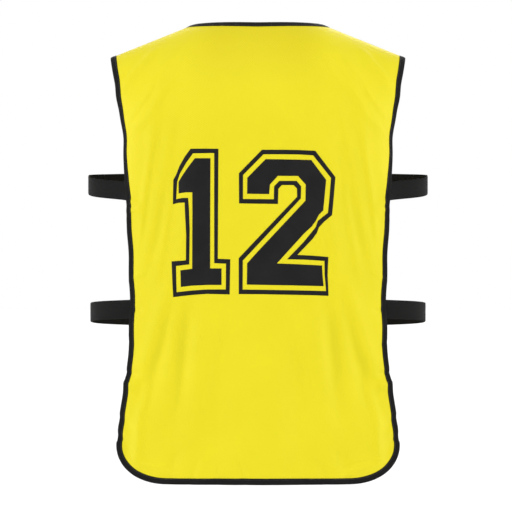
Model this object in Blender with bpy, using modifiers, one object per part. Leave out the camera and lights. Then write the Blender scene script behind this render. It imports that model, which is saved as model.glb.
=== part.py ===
"""A sleeveless training bib in its worn shape, modelled in Blender, in metres, +Z up.

The wearer faces +Y, so the numbered back looks to -Y, and the left of the picture is -X.
The origin is midway between the shoulder seams, at the height of the seams' midpoints,
where the wearer's shoulders carry the bib.

Every piece is an open surface with a Solidify modifier. All of them take their points
from one cloth surface, cloth_point(x, along, lift): x runs across the body, along is
the distance over the shoulder (negative down the back, positive down the front, 0 on the
shoulder seam), and lift moves a point out from the cloth.
"""

from collections import namedtuple
from math import pi, radians, tan

import bmesh
import bpy
import numpy as np

# Walls and seams
CLOTH = 0.001
TAPE = 0.001
ELASTIC = 0.0012
SEAM_GAP = 0.0003
TIP_GAP = 0.0007
STRAP_GAP = 0.0006
MERGE = 0.00001
BINDING_WIDTH = 0.009
STRAP_WIDTH = 0.030

# How far a strap is sewn in behind the panel's edge, where it leaves from, how far it runs
# straight out, and how flat its loop is at the outermost point
STRAP_HELD = 0.016
STRAP_EXIT = 0.002
STRAP_LEAD = 0.036
STRAP_SWING = 0.62

# The general figure that fills the bib: shoulders and the depth of the rounded top
SHOULDER_MID_X = 0.1745
SHOULDER_SLOPE = tan(radians(21.7))
NECK_HALF = 0.1055
BACK_CAP_DROP = 0.20
FRONT_CAP_DROP = 0.22
CAP_POWER = 2.4
RING_POWER = 2.3
PROFILE_DEPTH = 0.105
PROFILE_DROP = 0.85

# Neckline, hem and its rounded corners
BACK_NECK_DROP = 0.0226
BACK_NECK_POWER = 1.8
FRONT_NECK_DROP = 0.115
FRONT_NECK_POWER = 2.4
HEM_Z = -0.7015
CORNER_WIDTH = 0.082
CORNER_HEIGHT = 0.0625
CORNER_POWER = 2.2

# Mesh resolution: steps across half the neck, along a shoulder, round half a corner of
# the hem, along the hem between the corners and down the side to the corner
NECK_STEPS = 9
SHOULDER_STEPS = 6
CORNER_STEPS = 5
HEM_STEPS = 20
SIDE_STEPS = 25
SIDE_CROWDING = 1.2
FINE_STEPS = 400
LOOP_STEPS = 10
HELD_STEPS = 2
PROFILE_STEPS = 4001
NORMAL_STEP = 0.0004

# Rings of the figure: how far the cloth stands behind and in front of the shoulders, and
# the half width at which such a ring would close
Ring = namedtuple("Ring", "z back front close_x")
RINGS = (
    Ring(0.05, 0.122, 0.104, 0.276),
    Ring(-0.10, 0.121, 0.105, 0.270),
    Ring(-0.22, 0.119, 0.106, 0.258),
    Ring(-0.36, 0.114, 0.102, 0.252),
    Ring(-0.50, 0.112, 0.100, 0.262),
    Ring(-0.62, 0.114, 0.102, 0.289),
    Ring(-0.72, 0.116, 0.104, 0.304),
)

# The cut edge of a panel: half width at a drop below the shoulder line
Edge = namedtuple("Edge", "drop half_width")
EDGES = (
    Edge(0.000, 0.2368),
    Edge(0.030, 0.2310),
    Edge(0.052, 0.2267),
    Edge(0.075, 0.2247),
    Edge(0.110, 0.2216),
    Edge(0.140, 0.2169),
    Edge(0.165, 0.2173),
    Edge(0.190, 0.2148),
    Edge(0.215, 0.2111),
    Edge(0.240, 0.2077),
    Edge(0.290, 0.2067),
    Edge(0.330, 0.2037),
    Edge(0.364, 0.2037),
    Edge(0.402, 0.2015),
    Edge(0.446, 0.2036),
    Edge(0.480, 0.2036),
    Edge(0.530, 0.2100),
    Edge(0.590, 0.2197),
    Edge(0.630, 0.2231),
    Edge(0.800, 0.2233),
)

# Folds: the line of each from its top to its foot, how far it bows outwards between them,
# its half width, and its depth on the left and the right (positive stands out)
Fold = namedtuple("Fold", "top_x top_z foot_x foot_z bow width left right")
BACK_FOLDS = (
    Fold(0.232, -0.08, 0.228, -0.25, 0.000, 0.022, -0.0120, -0.0120),
    Fold(0.112, 0.010, 0.205, -0.17, 0.006, 0.018, 0.0040, 0.0040),
    Fold(0.138, -0.08, 0.180, -0.38, -0.004, 0.017, -0.0055, -0.0055),
    Fold(0.106, -0.36, 0.144, -0.66, -0.004, 0.018, -0.0065, -0.0065),
    Fold(0.148, -0.40, 0.200, -0.61, 0.000, 0.017, -0.0065, -0.0065),
    Fold(0.020, -0.42, 0.014, -0.76, 0.000, 0.030, 0.0000, 0.0045),
    Fold(0.060, -0.42, 0.072, -0.76, 0.000, 0.022, -0.0035, -0.0035),
)
FRONT_FOLDS = (
    Fold(0.233, -0.08, 0.229, -0.26, 0.000, 0.022, -0.0100, -0.0100),
    Fold(0.118, 0.005, 0.204, -0.19, 0.005, 0.018, 0.0035, 0.0045),
    Fold(0.132, -0.10, 0.176, -0.40, -0.005, 0.018, -0.0055, -0.0045),
    Fold(0.098, -0.34, 0.138, -0.67, -0.004, 0.018, -0.0065, -0.0050),
    Fold(0.144, -0.41, 0.198, -0.62, 0.000, 0.017, -0.0055, -0.0065),
    Fold(0.030, -0.30, 0.024, -0.76, 0.000, 0.028, -0.0045, 0.0000),
    Fold(0.052, -0.38, 0.070, -0.76, 0.000, 0.024, 0.0030, -0.0040),
)

# Side straps: height of the strap's middle where it leaves the back panel, at its
# outermost point and where it meets the front panel, and how far out it reaches
Strap = namedtuple("Strap", "name back_z side_z front_z reach_x")
STRAPS = (
    Strap("upper", -0.2410, -0.2287, -0.2233, 0.2735),
    Strap("lower", -0.4279, -0.4357, -0.4425, 0.2701),
)

YELLOW = (0.87, 0.76, 0.02, 1.0)
BLACK = (0.012, 0.012, 0.013, 1.0)


def smooth_rows(rows, key, value, at):
    """The table's value column at the given keys, on a smooth curve through its rows."""
    table = sorted((getattr(row, key), getattr(row, value)) for row in rows)
    keys, values = (np.array(column) for column in zip(*table))
    slopes = np.gradient(values, keys)
    at = np.clip(np.asarray(at, float), keys[0], keys[-1])
    low = np.clip(np.searchsorted(keys, at, side="right") - 1, 0, len(keys) - 2)
    span = keys[low + 1] - keys[low]
    t = (at - keys[low]) / span
    return (
        values[low] * (1 + 2 * t) * (1 - t) ** 2
        + slopes[low] * span * t * (1 - t) ** 2
        + values[low + 1] * t**2 * (3 - 2 * t)
        + slopes[low + 1] * span * t**2 * (t - 1)
    )


def ridge_height(x):
    """Height of the shoulder line, carried on smoothly across the neck opening."""
    out = np.abs(x)
    slope_part = (SHOULDER_MID_X - np.maximum(out, NECK_HALF)) * SHOULDER_SLOPE
    within = np.clip(1 - (out / NECK_HALF) ** 2, 0, None)
    return slope_part + SHOULDER_SLOPE * NECK_HALF / 2 * within


def cap_reach(drop, cap_drop):
    """Share of the ring's depth that the cloth has reached at a drop below the shoulder."""
    share = np.clip(drop / cap_drop, 0, 1)
    return np.sqrt(1 - (1 - share) ** CAP_POWER)


def profile_table(cap_drop):
    """Distances down a profile and the drops that they reach, from the shoulder seam."""
    drops = np.linspace(0, 1, PROFILE_STEPS) ** 2 * PROFILE_DROP
    reach = PROFILE_DEPTH * cap_reach(drops, cap_drop)
    steps = np.hypot(np.diff(drops), np.diff(reach))
    return np.concatenate(([0.0], np.cumsum(steps))), drops


BACK_PROFILE = profile_table(BACK_CAP_DROP)
FRONT_PROFILE = profile_table(FRONT_CAP_DROP)


def drop_at(along):
    """Drop below the shoulder line at a signed distance from the shoulder seam."""
    return np.where(
        along < 0, np.interp(-along, *BACK_PROFILE), np.interp(along, *FRONT_PROFILE)
    )


def along_at(drop, side):
    """The reverse of drop_at, for side -1 (back) or 1 (front)."""
    distances, drops = BACK_PROFILE if side < 0 else FRONT_PROFILE
    return side * np.interp(drop, drops, distances)


def fold_lift(x, z, folds):
    """How far the folds move the cloth out, at points x across and z high."""
    total = np.zeros_like(x)
    for fold in folds:
        down = np.clip((fold.top_z - z) / (fold.top_z - fold.foot_z), 0, 1)
        line = fold.top_x + (fold.foot_x - fold.top_x) * down
        line = line + 4 * fold.bow * down * (1 - down)
        fade = np.sin(pi * down)
        total += fade * fold.right * np.exp(-(((x - line) / fold.width) ** 2))
        total += fade * fold.left * np.exp(-(((x + line) / fold.width) ** 2))
    return total


def smooth_cloth(x, along):
    """Points of the cloth before its folds."""
    drop = drop_at(along)
    z = ridge_height(x) - drop
    close_x = smooth_rows(RINGS, "z", "close_x", z)
    ring = (1 - np.clip(np.abs(x) / close_x, 0, 1) ** RING_POWER) ** (1 / RING_POWER)
    back = smooth_rows(RINGS, "z", "back", z)
    front = smooth_rows(RINGS, "z", "front", z)
    y_back = -back * ring * cap_reach(drop, BACK_CAP_DROP)
    y_front = front * ring * cap_reach(drop, FRONT_CAP_DROP)
    return np.stack([x, np.where(along < 0, y_back, y_front), z], axis=-1)


def outward(surface, x, along):
    """Unit normals of a surface function, away from the body."""
    across = surface(x + NORMAL_STEP, along) - surface(x - NORMAL_STEP, along)
    down = surface(x, along + NORMAL_STEP) - surface(x, along - NORMAL_STEP)
    normal = np.cross(across, down)
    return normal / np.linalg.norm(normal, axis=-1, keepdims=True)


def folded_cloth(x, along):
    """Points of the cloth with its folds."""
    points = smooth_cloth(x, along)
    z = points[..., 2]
    lift = np.where(
        along < 0, fold_lift(x, z, BACK_FOLDS), fold_lift(x, z, FRONT_FOLDS)
    )
    return points + lift[..., None] * outward(smooth_cloth, x, along)


def cloth_point(x, along, lift=0.0):
    """Points of the finished cloth, moved out by lift."""
    x, along = np.broadcast_arrays(np.asarray(x, float), np.asarray(along, float))
    points = folded_cloth(x, along)
    return points + np.asarray(lift)[..., None] * outward(folded_cloth, x, along)


def even_steps(line, steps):
    """Points along a finely divided line at equal distances."""
    lengths = np.concatenate(([0], np.cumsum(np.linalg.norm(np.diff(line, axis=0), axis=1))))
    at = np.linspace(0, lengths[-1], steps + 1)
    return np.stack([np.interp(at, lengths, column) for column in line.T], axis=-1)


def neck_line(side):
    """The back (side -1) or front (1) neckline from left to right, as (x, along)."""
    share = np.sin(np.linspace(-pi / 2, pi / 2, 2 * NECK_STEPS + 1))
    depth = BACK_NECK_DROP if side < 0 else FRONT_NECK_DROP
    power = BACK_NECK_POWER if side < 0 else FRONT_NECK_POWER
    drop = depth * (1 - np.abs(share) ** power)
    return np.stack([NECK_HALF * share, along_at(drop, side)], axis=-1)


def corner_line(side, start, end, steps):
    """Part of the right-hand hem corner, between two angles down from the side."""
    angle = np.radians(np.linspace(start, end, FINE_STEPS))
    x = EDGES[-1].half_width - CORNER_WIDTH * (1 - np.cos(angle) ** (2 / CORNER_POWER))
    z = HEM_Z + CORNER_HEIGHT * (1 - np.sin(angle) ** (2 / CORNER_POWER))
    line = np.stack([x, along_at(ridge_height(x) - z, side)], axis=-1)
    return even_steps(line, steps)


def side_line(side):
    """The right-hand cut edge from the shoulder tip to the middle of the hem's corner."""
    corner = corner_line(side, 0, 45, CORNER_STEPS)
    shares = np.linspace(0, 1, SIDE_STEPS + 1)[:-1] ** SIDE_CROWDING
    along = side * TIP_GAP + (corner[0, 1] - side * TIP_GAP) * shares
    x = smooth_rows(EDGES, "drop", "half_width", drop_at(along))
    return np.concatenate([np.stack([x, along], axis=-1), corner])


def hem_line(side):
    """The hem from the middle of its right-hand corner to the middle of the left one."""
    corner = corner_line(side, 45, 90, CORNER_STEPS)
    x = np.linspace(corner[-1, 0], -corner[-1, 0], HEM_STEPS + 1)[1:-1]
    straight = np.stack([x, along_at(ridge_height(x) - HEM_Z, side)], axis=-1)
    return np.concatenate([corner, straight, mirrored(corner)[::-1]])


def mirrored(line):
    return line * np.array([-1.0, 1.0])


def inward_steps(line, closed):
    """Steps in (x, along) to one side of an edge, each one metre long on the cloth."""
    if closed:
        ahead, behind = np.roll(line, -1, axis=0), np.roll(line, 1, axis=0)
    else:
        ahead = np.concatenate([line[1:], line[-1:]])
        behind = np.concatenate([line[:1], line[:-1]])
    tangent = ahead - behind
    step = np.stack([-tangent[:, 1], tangent[:, 0]], axis=-1)
    if not closed:
        step[[0, -1], 1] = 0.0
    step = step / np.linalg.norm(step, axis=-1, keepdims=True)
    moved = cloth_point(*(line + BINDING_WIDTH * step).T) - cloth_point(*line.T)
    length = np.linalg.norm(moved, axis=-1, keepdims=True)
    return step * BINDING_WIDTH / length


def outer_edge(side):
    """The bound outer edge of a panel, and the steps from it into the cloth."""
    half = side_line(side)
    line = np.concatenate([half, hem_line(side)[1:-1], mirrored(half)[::-1]])
    return line, side * inward_steps(line, closed=False)


def neck_edge():
    """The neckline: along the back from left to right, then along the front to the left."""
    line = np.concatenate([neck_line(-1)[:-1], neck_line(1)[:0:-1]])
    line[[0, 2 * NECK_STEPS], 1] = 0.0
    step = -inward_steps(line, closed=True)
    step[[0, 2 * NECK_STEPS], 1] = 0.0
    return line, step


def bands(side):
    """Grids of a panel's bound strips, each from the binding's width in to its cut edge."""
    line, step = outer_edge(side)
    outer = np.stack([line + BINDING_WIDTH * step, line], axis=1)
    line, step = neck_edge()
    neck = np.stack([line + BINDING_WIDTH * step, line], axis=1)
    if side < 0:
        neck = neck[: 2 * NECK_STEPS + 1]
    else:
        neck = np.concatenate([neck[2 * NECK_STEPS :], neck[:1]])
    neck[[0, -1], :, 1] = side * SEAM_GAP
    return outer, neck


def blend(top, bottom, left, right):
    """A grid whose four borders are the given lines."""
    across = np.mean([line_shares(top), line_shares(bottom)], axis=0)[None, :, None]
    down = np.mean([line_shares(left), line_shares(right)], axis=0)[:, None, None]
    corners = (1 - down) * ((1 - across) * top[0] + across * top[-1]) + down * (
        (1 - across) * bottom[0] + across * bottom[-1]
    )
    return (
        (1 - down) * top + down * bottom + (1 - across) * left[:, None]
        + across * right[:, None] - corners
    )


def line_shares(line):
    lengths = np.concatenate(([0], np.cumsum(np.linalg.norm(np.diff(line, axis=0), axis=1))))
    return lengths / lengths[-1]


def panel_grids(side):
    """The panel's field between its bound strips, and the strips, as points in space."""
    outer, neck = bands(side)
    rim = outer[:, 0]
    down = SIDE_STEPS + CORNER_STEPS
    right, bottom, left = rim[: down + 1], rim[down : -down][::-1], rim[-down - 1 :][::-1]
    neck_rim = neck[::-side, 0]
    seam = np.linspace(neck_rim[-1], right[0], SHOULDER_STEPS + 1)[1:]
    top = np.concatenate([mirrored(seam)[::-1], neck_rim, seam])
    field = blend(top, bottom, left, right)
    return [cloth_point(*np.moveaxis(grid, -1, 0)) for grid in (field, outer, neck)]


def binding_grids(line, step):
    """A tape folded over an edge: its outer side, its inner side and the fold, as points."""
    lift = CLOTH / 2 + SEAM_GAP + TAPE / 2
    rim = line + step * BINDING_WIDTH
    fold = line - step * (SEAM_GAP + TAPE / 2)
    outer, inner = (
        np.stack([cloth_point(*rim.T, way * lift), cloth_point(*fold.T, way * lift)], axis=1)
        for way in (1, -1)
    )
    return [outer, inner, np.stack([outer[:, 1], inner[:, 1]], axis=1)]


def strap_end(side, hand, z, inset):
    """A strap's point at a height, inset from the panel's edge on the panel's inside."""
    lift = -(CLOTH / 2 + SEAM_GAP + TAPE + STRAP_GAP + ELASTIC / 2)
    half_width = EDGES[-1].half_width
    for _ in range(6):
        drop = float(ridge_height(half_width)) - z
        half_width = float(smooth_rows(EDGES, "drop", "half_width", drop))
    return cloth_point(hand * (half_width - inset), along_at(drop, side), lift)


def half_loop(side, hand, z, outermost):
    """A strap's edge line from inside a panel out to its outermost point."""
    held = [
        strap_end(side, hand, z, STRAP_HELD * (1 - i / HELD_STEPS)) for i in range(HELD_STEPS)
    ]
    leaving = strap_end(side, hand, z, -STRAP_EXIT)
    way = leaving - strap_end(side, hand, z, STRAP_EXIT)
    lead = leaving + STRAP_LEAD * way / np.linalg.norm(way)
    turn = outermost + np.array([0.0, STRAP_SWING * leaving[1], 0.0])
    t = np.linspace(0, 1, LOOP_STEPS + 1)[:, None]
    loop = (
        (1 - t) ** 3 * leaving
        + 3 * (1 - t) ** 2 * t * lead
        + 3 * (1 - t) * t**2 * turn
        + t**3 * outermost
    )
    loop[:, 2] = outermost[2] + (leaving[2] - outermost[2]) * loop[:, 1] / leaving[1]
    return np.concatenate([held, loop])


def strap_line(strap, hand, z_shift):
    """One long edge of a strap, from inside the back panel, out and round to the front."""
    outermost = np.array([hand * strap.reach_x, 0.0, strap.side_z + z_shift])
    back = half_loop(-1, hand, strap.back_z + z_shift, outermost)
    front = half_loop(1, hand, strap.front_z + z_shift, outermost)
    return np.concatenate([back, front[-2::-1]])


def strap_grid(strap, hand):
    """Points of an elastic side strap, hand -1 on the left and 1 on the right."""
    half = STRAP_WIDTH / 2
    return np.stack([strap_line(strap, hand, shift) for shift in (half, 0.0, -half)], axis=1)


def material(name, colour, roughness):
    made = bpy.data.materials.new(name)
    made.use_nodes = True
    shader = made.node_tree.nodes["Principled BSDF"]
    shader.inputs["Base Color"].default_value = colour
    shader.inputs["Roughness"].default_value = roughness
    shader.inputs["Metallic"].default_value = 0.0
    made.diffuse_color = colour
    return made


def sheet(name, grids, thickness, finish, collection, closed=False):
    """A named object: open surfaces through grids of points, joined and made solid.

    Each square is split in two, the other way on the left so that the halves mirror.
    """
    built = bmesh.new()
    for grid in grids:
        rows = [[built.verts.new(point) for point in row] for row in grid]
        for i in range(len(rows) if closed else len(rows) - 1):
            upper, lower = rows[i], rows[(i + 1) % len(rows)]
            for j in range(len(upper) - 1):
                quad = (upper[j], lower[j], lower[j + 1], upper[j + 1])
                if sum(corner.co.x for corner in quad) < 0:
                    quad = quad[1:] + quad[:1]
                built.faces.new(quad[:3])
                built.faces.new((quad[0], quad[2], quad[3]))
    bmesh.ops.remove_doubles(built, verts=built.verts, dist=MERGE)
    bmesh.ops.recalc_face_normals(built, faces=built.faces)
    mesh = bpy.data.meshes.new(name)
    built.to_mesh(mesh)
    built.free()
    mesh.shade_smooth()
    made = bpy.data.objects.new(name, mesh)
    made.data.materials.append(finish)
    collection.objects.link(made)
    wall = made.modifiers.new("wall", "SOLIDIFY")
    wall.thickness = thickness
    wall.offset = 0.0
    wall.use_even_offset = True
    wall.use_quality_normals = True


def main():
    for old in list(bpy.data.objects):
        bpy.data.objects.remove(old)
    parts = bpy.data.collections.new("training_bib")
    bpy.context.scene.collection.children.link(parts)

    knit = material("yellow_knit", YELLOW, 0.62)
    tape = material("black_tape", BLACK, 0.75)
    elastic = material("black_elastic", BLACK, 0.85)

    for name, side in (("back", -1), ("front", 1)):
        sheet(name + "_panel", panel_grids(side), CLOTH, knit, parts)
        edge = binding_grids(*outer_edge(side))
        sheet(name + "_edge_binding", edge, TAPE, tape, parts)

    collar = binding_grids(*neck_edge())
    sheet("neck_binding", collar, TAPE, tape, parts, closed=True)

    for strap in STRAPS:
        for hand, word in ((-1, "left"), (1, "right")):
            grid = strap_grid(strap, hand)
            sheet(f"{word}_{strap.name}_strap", [grid], ELASTIC, elastic, parts)


main()
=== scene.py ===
"""The worn training bib as the photograph shows it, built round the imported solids."""

from collections import namedtuple
from math import cos, pi, radians, sin, tan

import bmesh
import bpy
import numpy as np
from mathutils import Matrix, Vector


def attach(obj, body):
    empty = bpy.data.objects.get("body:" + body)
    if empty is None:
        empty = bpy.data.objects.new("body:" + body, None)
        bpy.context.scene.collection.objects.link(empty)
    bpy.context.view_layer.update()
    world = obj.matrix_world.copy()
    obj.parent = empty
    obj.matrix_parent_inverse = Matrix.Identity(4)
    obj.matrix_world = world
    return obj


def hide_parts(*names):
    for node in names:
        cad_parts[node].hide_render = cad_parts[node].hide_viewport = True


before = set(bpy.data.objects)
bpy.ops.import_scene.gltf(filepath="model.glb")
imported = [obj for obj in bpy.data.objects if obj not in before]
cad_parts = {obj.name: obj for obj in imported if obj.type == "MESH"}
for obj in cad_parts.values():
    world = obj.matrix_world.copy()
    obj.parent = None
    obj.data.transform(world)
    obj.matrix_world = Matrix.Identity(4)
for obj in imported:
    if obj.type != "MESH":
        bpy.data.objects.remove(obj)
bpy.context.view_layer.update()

# The cloth surface, as in the solids: metres, the wearer faces +Y
CLOTH = 0.0007
BINDING_WIDTH = 0.009
STRAP_WIDTH = 0.030
STRAP_HELD = 0.016
STRAP_EXIT = 0.002
STRAP_LEAD = 0.036
STRAP_SWING = 0.62
STRAP_THICKNESS = 0.0013
SEAM_GAP = 0.0001
SHOULDER_MID_X = 0.1745
SHOULDER_SLOPE = tan(radians(21.7))
NECK_HALF = 0.1055
BACK_CAP_DROP = 0.20
FRONT_CAP_DROP = 0.22
CAP_POWER = 2.4
RING_POWER = 2.3
BACK_NECK_DROP = 0.0226
BACK_NECK_POWER = 1.8
FRONT_NECK_DROP = 0.115
FRONT_NECK_POWER = 2.4
HEM_Z = -0.7015
CORNER_WIDTH = 0.082
CORNER_HEIGHT = 0.0625
CORNER_POWER = 2.2
NORMAL_STEP = 0.0004
PROFILE_DEPTH = 0.105
PROFILE_DROP = 0.85
PROFILE_STEPS = 4001
SEAM_PULL = 0.0007
SEAM_PULL_REACH = 0.0022
FOLD_FADE = 0.2
CREASE_FADE = 0.35

NECK_STEPS = 56
SHOULDER_STEPS = 48
CORNER_STEPS = 26
HEM_STEPS = 156
SIDE_STEPS = 202

Ring = namedtuple("Ring", "z back front close_x")
RINGS = (
    Ring(0.05, 0.122, 0.104, 0.276),
    Ring(-0.10, 0.121, 0.105, 0.270),
    Ring(-0.22, 0.119, 0.106, 0.258),
    Ring(-0.36, 0.114, 0.102, 0.252),
    Ring(-0.50, 0.112, 0.100, 0.262),
    Ring(-0.62, 0.114, 0.102, 0.289),
    Ring(-0.72, 0.116, 0.104, 0.304),
)

# The cut edge: half widths measured on the photo and turned into metres by a scratch program
Edge = namedtuple("Edge", "drop half_width")
EDGES = (
    Edge(0.000, 0.2368),
    Edge(0.030, 0.2310),
    Edge(0.052, 0.2267),
    Edge(0.075, 0.2247),
    Edge(0.110, 0.2216),
    Edge(0.140, 0.2169),
    Edge(0.165, 0.2173),
    Edge(0.190, 0.2148),
    Edge(0.215, 0.2111),
    Edge(0.240, 0.2077),
    Edge(0.290, 0.2067),
    Edge(0.330, 0.2037),
    Edge(0.364, 0.2037),
    Edge(0.402, 0.2015),
    Edge(0.446, 0.2036),
    Edge(0.480, 0.2036),
    Edge(0.530, 0.2100),
    Edge(0.590, 0.2197),
    Edge(0.630, 0.2231),
    Edge(0.800, 0.2233),
)

# The large folds: the line of each from its top to its foot, how far it bows outwards,
# its half width, and its depth on the left and the right (positive stands out). The fit
# named below also led the heights of the back's third and fifth folds.
Fold = namedtuple("Fold", "top_x top_z foot_x foot_z bow width left right")
BACK_FOLDS = (
    Fold(0.232, -0.08, 0.228, -0.25, 0.000, 0.022, -0.0120, -0.0120),
    Fold(0.106, 0.010, 0.203, -0.17, 0.006, 0.018, 0.0040, 0.0040),
    Fold(0.128, -0.08, 0.170, -0.38, -0.004, 0.017, -0.0032, -0.0036),
    Fold(0.106, -0.36, 0.144, -0.66, -0.004, 0.018, -0.0055, -0.0055),
    Fold(0.132, -0.38, 0.188, -0.62, 0.000, 0.016, -0.0046, -0.0050),
    Fold(0.020, -0.42, 0.014, -0.76, 0.000, 0.030, 0.0000, 0.0045),
    Fold(0.060, -0.42, 0.072, -0.76, 0.000, 0.022, -0.0035, -0.0035),
    Fold(0.000, 0.010, 0.000, -0.14, 0.000, 0.070, -0.0016, -0.0016),
)
FRONT_FOLDS = (
    Fold(0.233, -0.08, 0.229, -0.26, 0.000, 0.022, -0.0100, -0.0100),
    Fold(0.112, 0.005, 0.202, -0.19, 0.005, 0.018, 0.0035, 0.0045),
    Fold(0.124, -0.10, 0.167, -0.40, -0.005, 0.018, -0.0055, -0.0045),
    Fold(0.098, -0.34, 0.138, -0.67, -0.004, 0.018, -0.0060, -0.0045),
    Fold(0.129, -0.39, 0.184, -0.63, 0.000, 0.017, -0.0050, -0.0060),
    Fold(0.030, -0.30, 0.024, -0.76, 0.000, 0.028, -0.0045, 0.0000),
    Fold(0.052, -0.38, 0.070, -0.76, 0.000, 0.024, 0.0030, -0.0040),
)

# The creases: points (x, z) of a line on the right half, the half widths of its inner and
# outer slopes, and its height on the left and the right (negative for a valley). The back's
# were placed first. Then a scratch program fitted lines, widths and heights to the photo's
# shading, and many of its numbers were taken over here, so they are fitted values.
# The front's are like them, moved and of other heights, since the front is not seen.
Crease = namedtuple("Crease", "line inner outer left right")
BACK_CREASES = (
    # drag lines from the shoulder to the armhole
    Crease(((0.150, -0.013), (0.165, -0.020), (0.188, -0.045), (0.210, -0.068),
            (0.226, -0.077)), 0.0058, 0.0067, 0.0026, 0.0027),
    Crease(((0.152, -0.055), (0.1686, -0.093), (0.1865, -0.118), (0.2041, -0.142),
            (0.212, -0.160)), 0.0060, 0.0042, -0.0019, -0.0019),
    Crease(((0.117, -0.032), (0.131, -0.062), (0.155, -0.095), (0.170, -0.124),
            (0.200, -0.157)), 0.0058, 0.0045, 0.0016, 0.0016),
    Crease(((0.159, -0.100), (0.162, -0.125), (0.169, -0.150), (0.172, -0.195)),
           0.0115, 0.0085, 0.0016, 0.0015),
    # the fan beside the number
    Crease(((0.117, -0.075), (0.136, -0.140), (0.1435, -0.188), (0.1552, -0.250),
            (0.1650, -0.300), (0.1751, -0.340), (0.190, -0.400)), 0.0086, 0.0108, 0.0030, 0.0028),
    Crease(((0.155, -0.115), (0.169, -0.188), (0.1772, -0.242), (0.1843, -0.302),
            (0.190, -0.360)), 0.0040, 0.0068, 0.0019, 0.0019),
    Crease(((0.125, -0.155), (0.136, -0.205), (0.1402, -0.260), (0.1458, -0.300),
            (0.1543, -0.350), (0.1665, -0.420)), 0.0062, 0.0082, 0.0018, 0.0017),
    Crease(((0.110, -0.205), (0.108, -0.270), (0.120, -0.350), (0.123, -0.430)),
           0.0140, 0.0160, 0.0031, 0.0032),
    Crease(((0.101, -0.190), (0.0995, -0.260), (0.0995, -0.320), (0.097, -0.385)),
           0.0058, 0.0062, 0.0010, 0.0018),
    # pulls at the upper strap
    Crease(((0.212, -0.254), (0.194, -0.2597), (0.178, -0.264)), 0.0028, 0.0062, 0.0022, 0.0022),
    Crease(((0.212, -0.2716), (0.195, -0.2708), (0.180, -0.272)), 0.0028, 0.0068, 0.0024, 0.0022),
    Crease(((0.212, -0.289), (0.196, -0.283), (0.182, -0.278)), 0.0038, 0.0037, 0.0008, 0.0009),
    # pulls at the lower strap
    Crease(((0.210, -0.389), (0.190, -0.375), (0.172, -0.369)), 0.0027, 0.0028, 0.0009, 0.0009),
    Crease(((0.210, -0.424), (0.193, -0.430), (0.178, -0.430)), 0.0038, 0.0034, -0.0019, -0.0019),
    # the long crease from the lower strap to the side
    Crease(((0.138, -0.362), (0.1472, -0.420), (0.1551, -0.450), (0.1626, -0.480),
            (0.1718, -0.507), (0.1818, -0.531), (0.1940, -0.549), (0.216, -0.566)),
           0.0102, 0.0145, 0.0050, 0.0053),
    # below the number
    Crease(((0.097, -0.352), (0.121, -0.420), (0.129, -0.460), (0.1305, -0.500),
            (0.1335, -0.545), (0.146, -0.635)), 0.0124, 0.0146, 0.0036, 0.0032),
    Crease(((0.101, -0.390), (0.094, -0.450), (0.0985, -0.500), (0.107, -0.590)),
           0.0300, 0.0160, 0.0020, 0.0025),
    Crease(((0.065, -0.410), (0.073, -0.490), (0.0885, -0.550), (0.106, -0.655)),
           0.0112, 0.0280, 0.0026, 0.0024),
    # the rolled edge beside the hem's corner
    Crease(((0.171, -0.508), (0.1768, -0.565), (0.1861, -0.600), (0.1868, -0.630),
            (0.1885, -0.655), (0.193, -0.700)), 0.0066, 0.0086, 0.0030, 0.0032),
    Crease(((0.210, -0.645), (0.186, -0.671), (0.168, -0.673), (0.146, -0.681),
            (0.110, -0.694)), 0.0040, 0.0120, 0.0018, 0.0020),
    # puckers along the bound edge
    Crease(((0.220, -0.480), (0.196, -0.4835), (0.178, -0.496)), 0.0034, 0.0030, -0.0006, -0.0010),
    Crease(((0.226, -0.527), (0.200, -0.529), (0.180, -0.531)), 0.0038, 0.0062, -0.0028, -0.0028),
    Crease(((0.228, -0.537), (0.203, -0.546), (0.184, -0.542)), 0.0038, 0.0105, 0.0034, 0.0034),
    Crease(((0.238, -0.5955), (0.212, -0.603), (0.192, -0.616)), 0.0050, 0.0120, -0.0028, -0.0030),
    Crease(((0.240, -0.615), (0.212, -0.636), (0.192, -0.655)), 0.0056, 0.0110, -0.0030, -0.0026),
    # just above the hem
    Crease(((0.012, -0.724), (0.0230, -0.690), (0.033, -0.648)), 0.0060, 0.0060, -0.0018, -0.0008),
    Crease(((0.041, -0.724), (0.0385, -0.692), (0.044, -0.660)), 0.0088, 0.0078, 0.0005, -0.0005),
    Crease(((0.061, -0.724), (0.0642, -0.694), (0.058, -0.655)), 0.0056, 0.0058, -0.0010, 0.0006),
    Crease(((0.089, -0.724), (0.0970, -0.692), (0.080, -0.660)), 0.0078, 0.0090, 0.0008, -0.0008),
    Crease(((0.120, -0.724), (0.1030, -0.690), (0.092, -0.650)), 0.0058, 0.0066, -0.0021, -0.0017),
    Crease(((0.145, -0.718), (0.1378, -0.686), (0.124, -0.636)), 0.0096, 0.0103, -0.0027, -0.0026),
)
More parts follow.
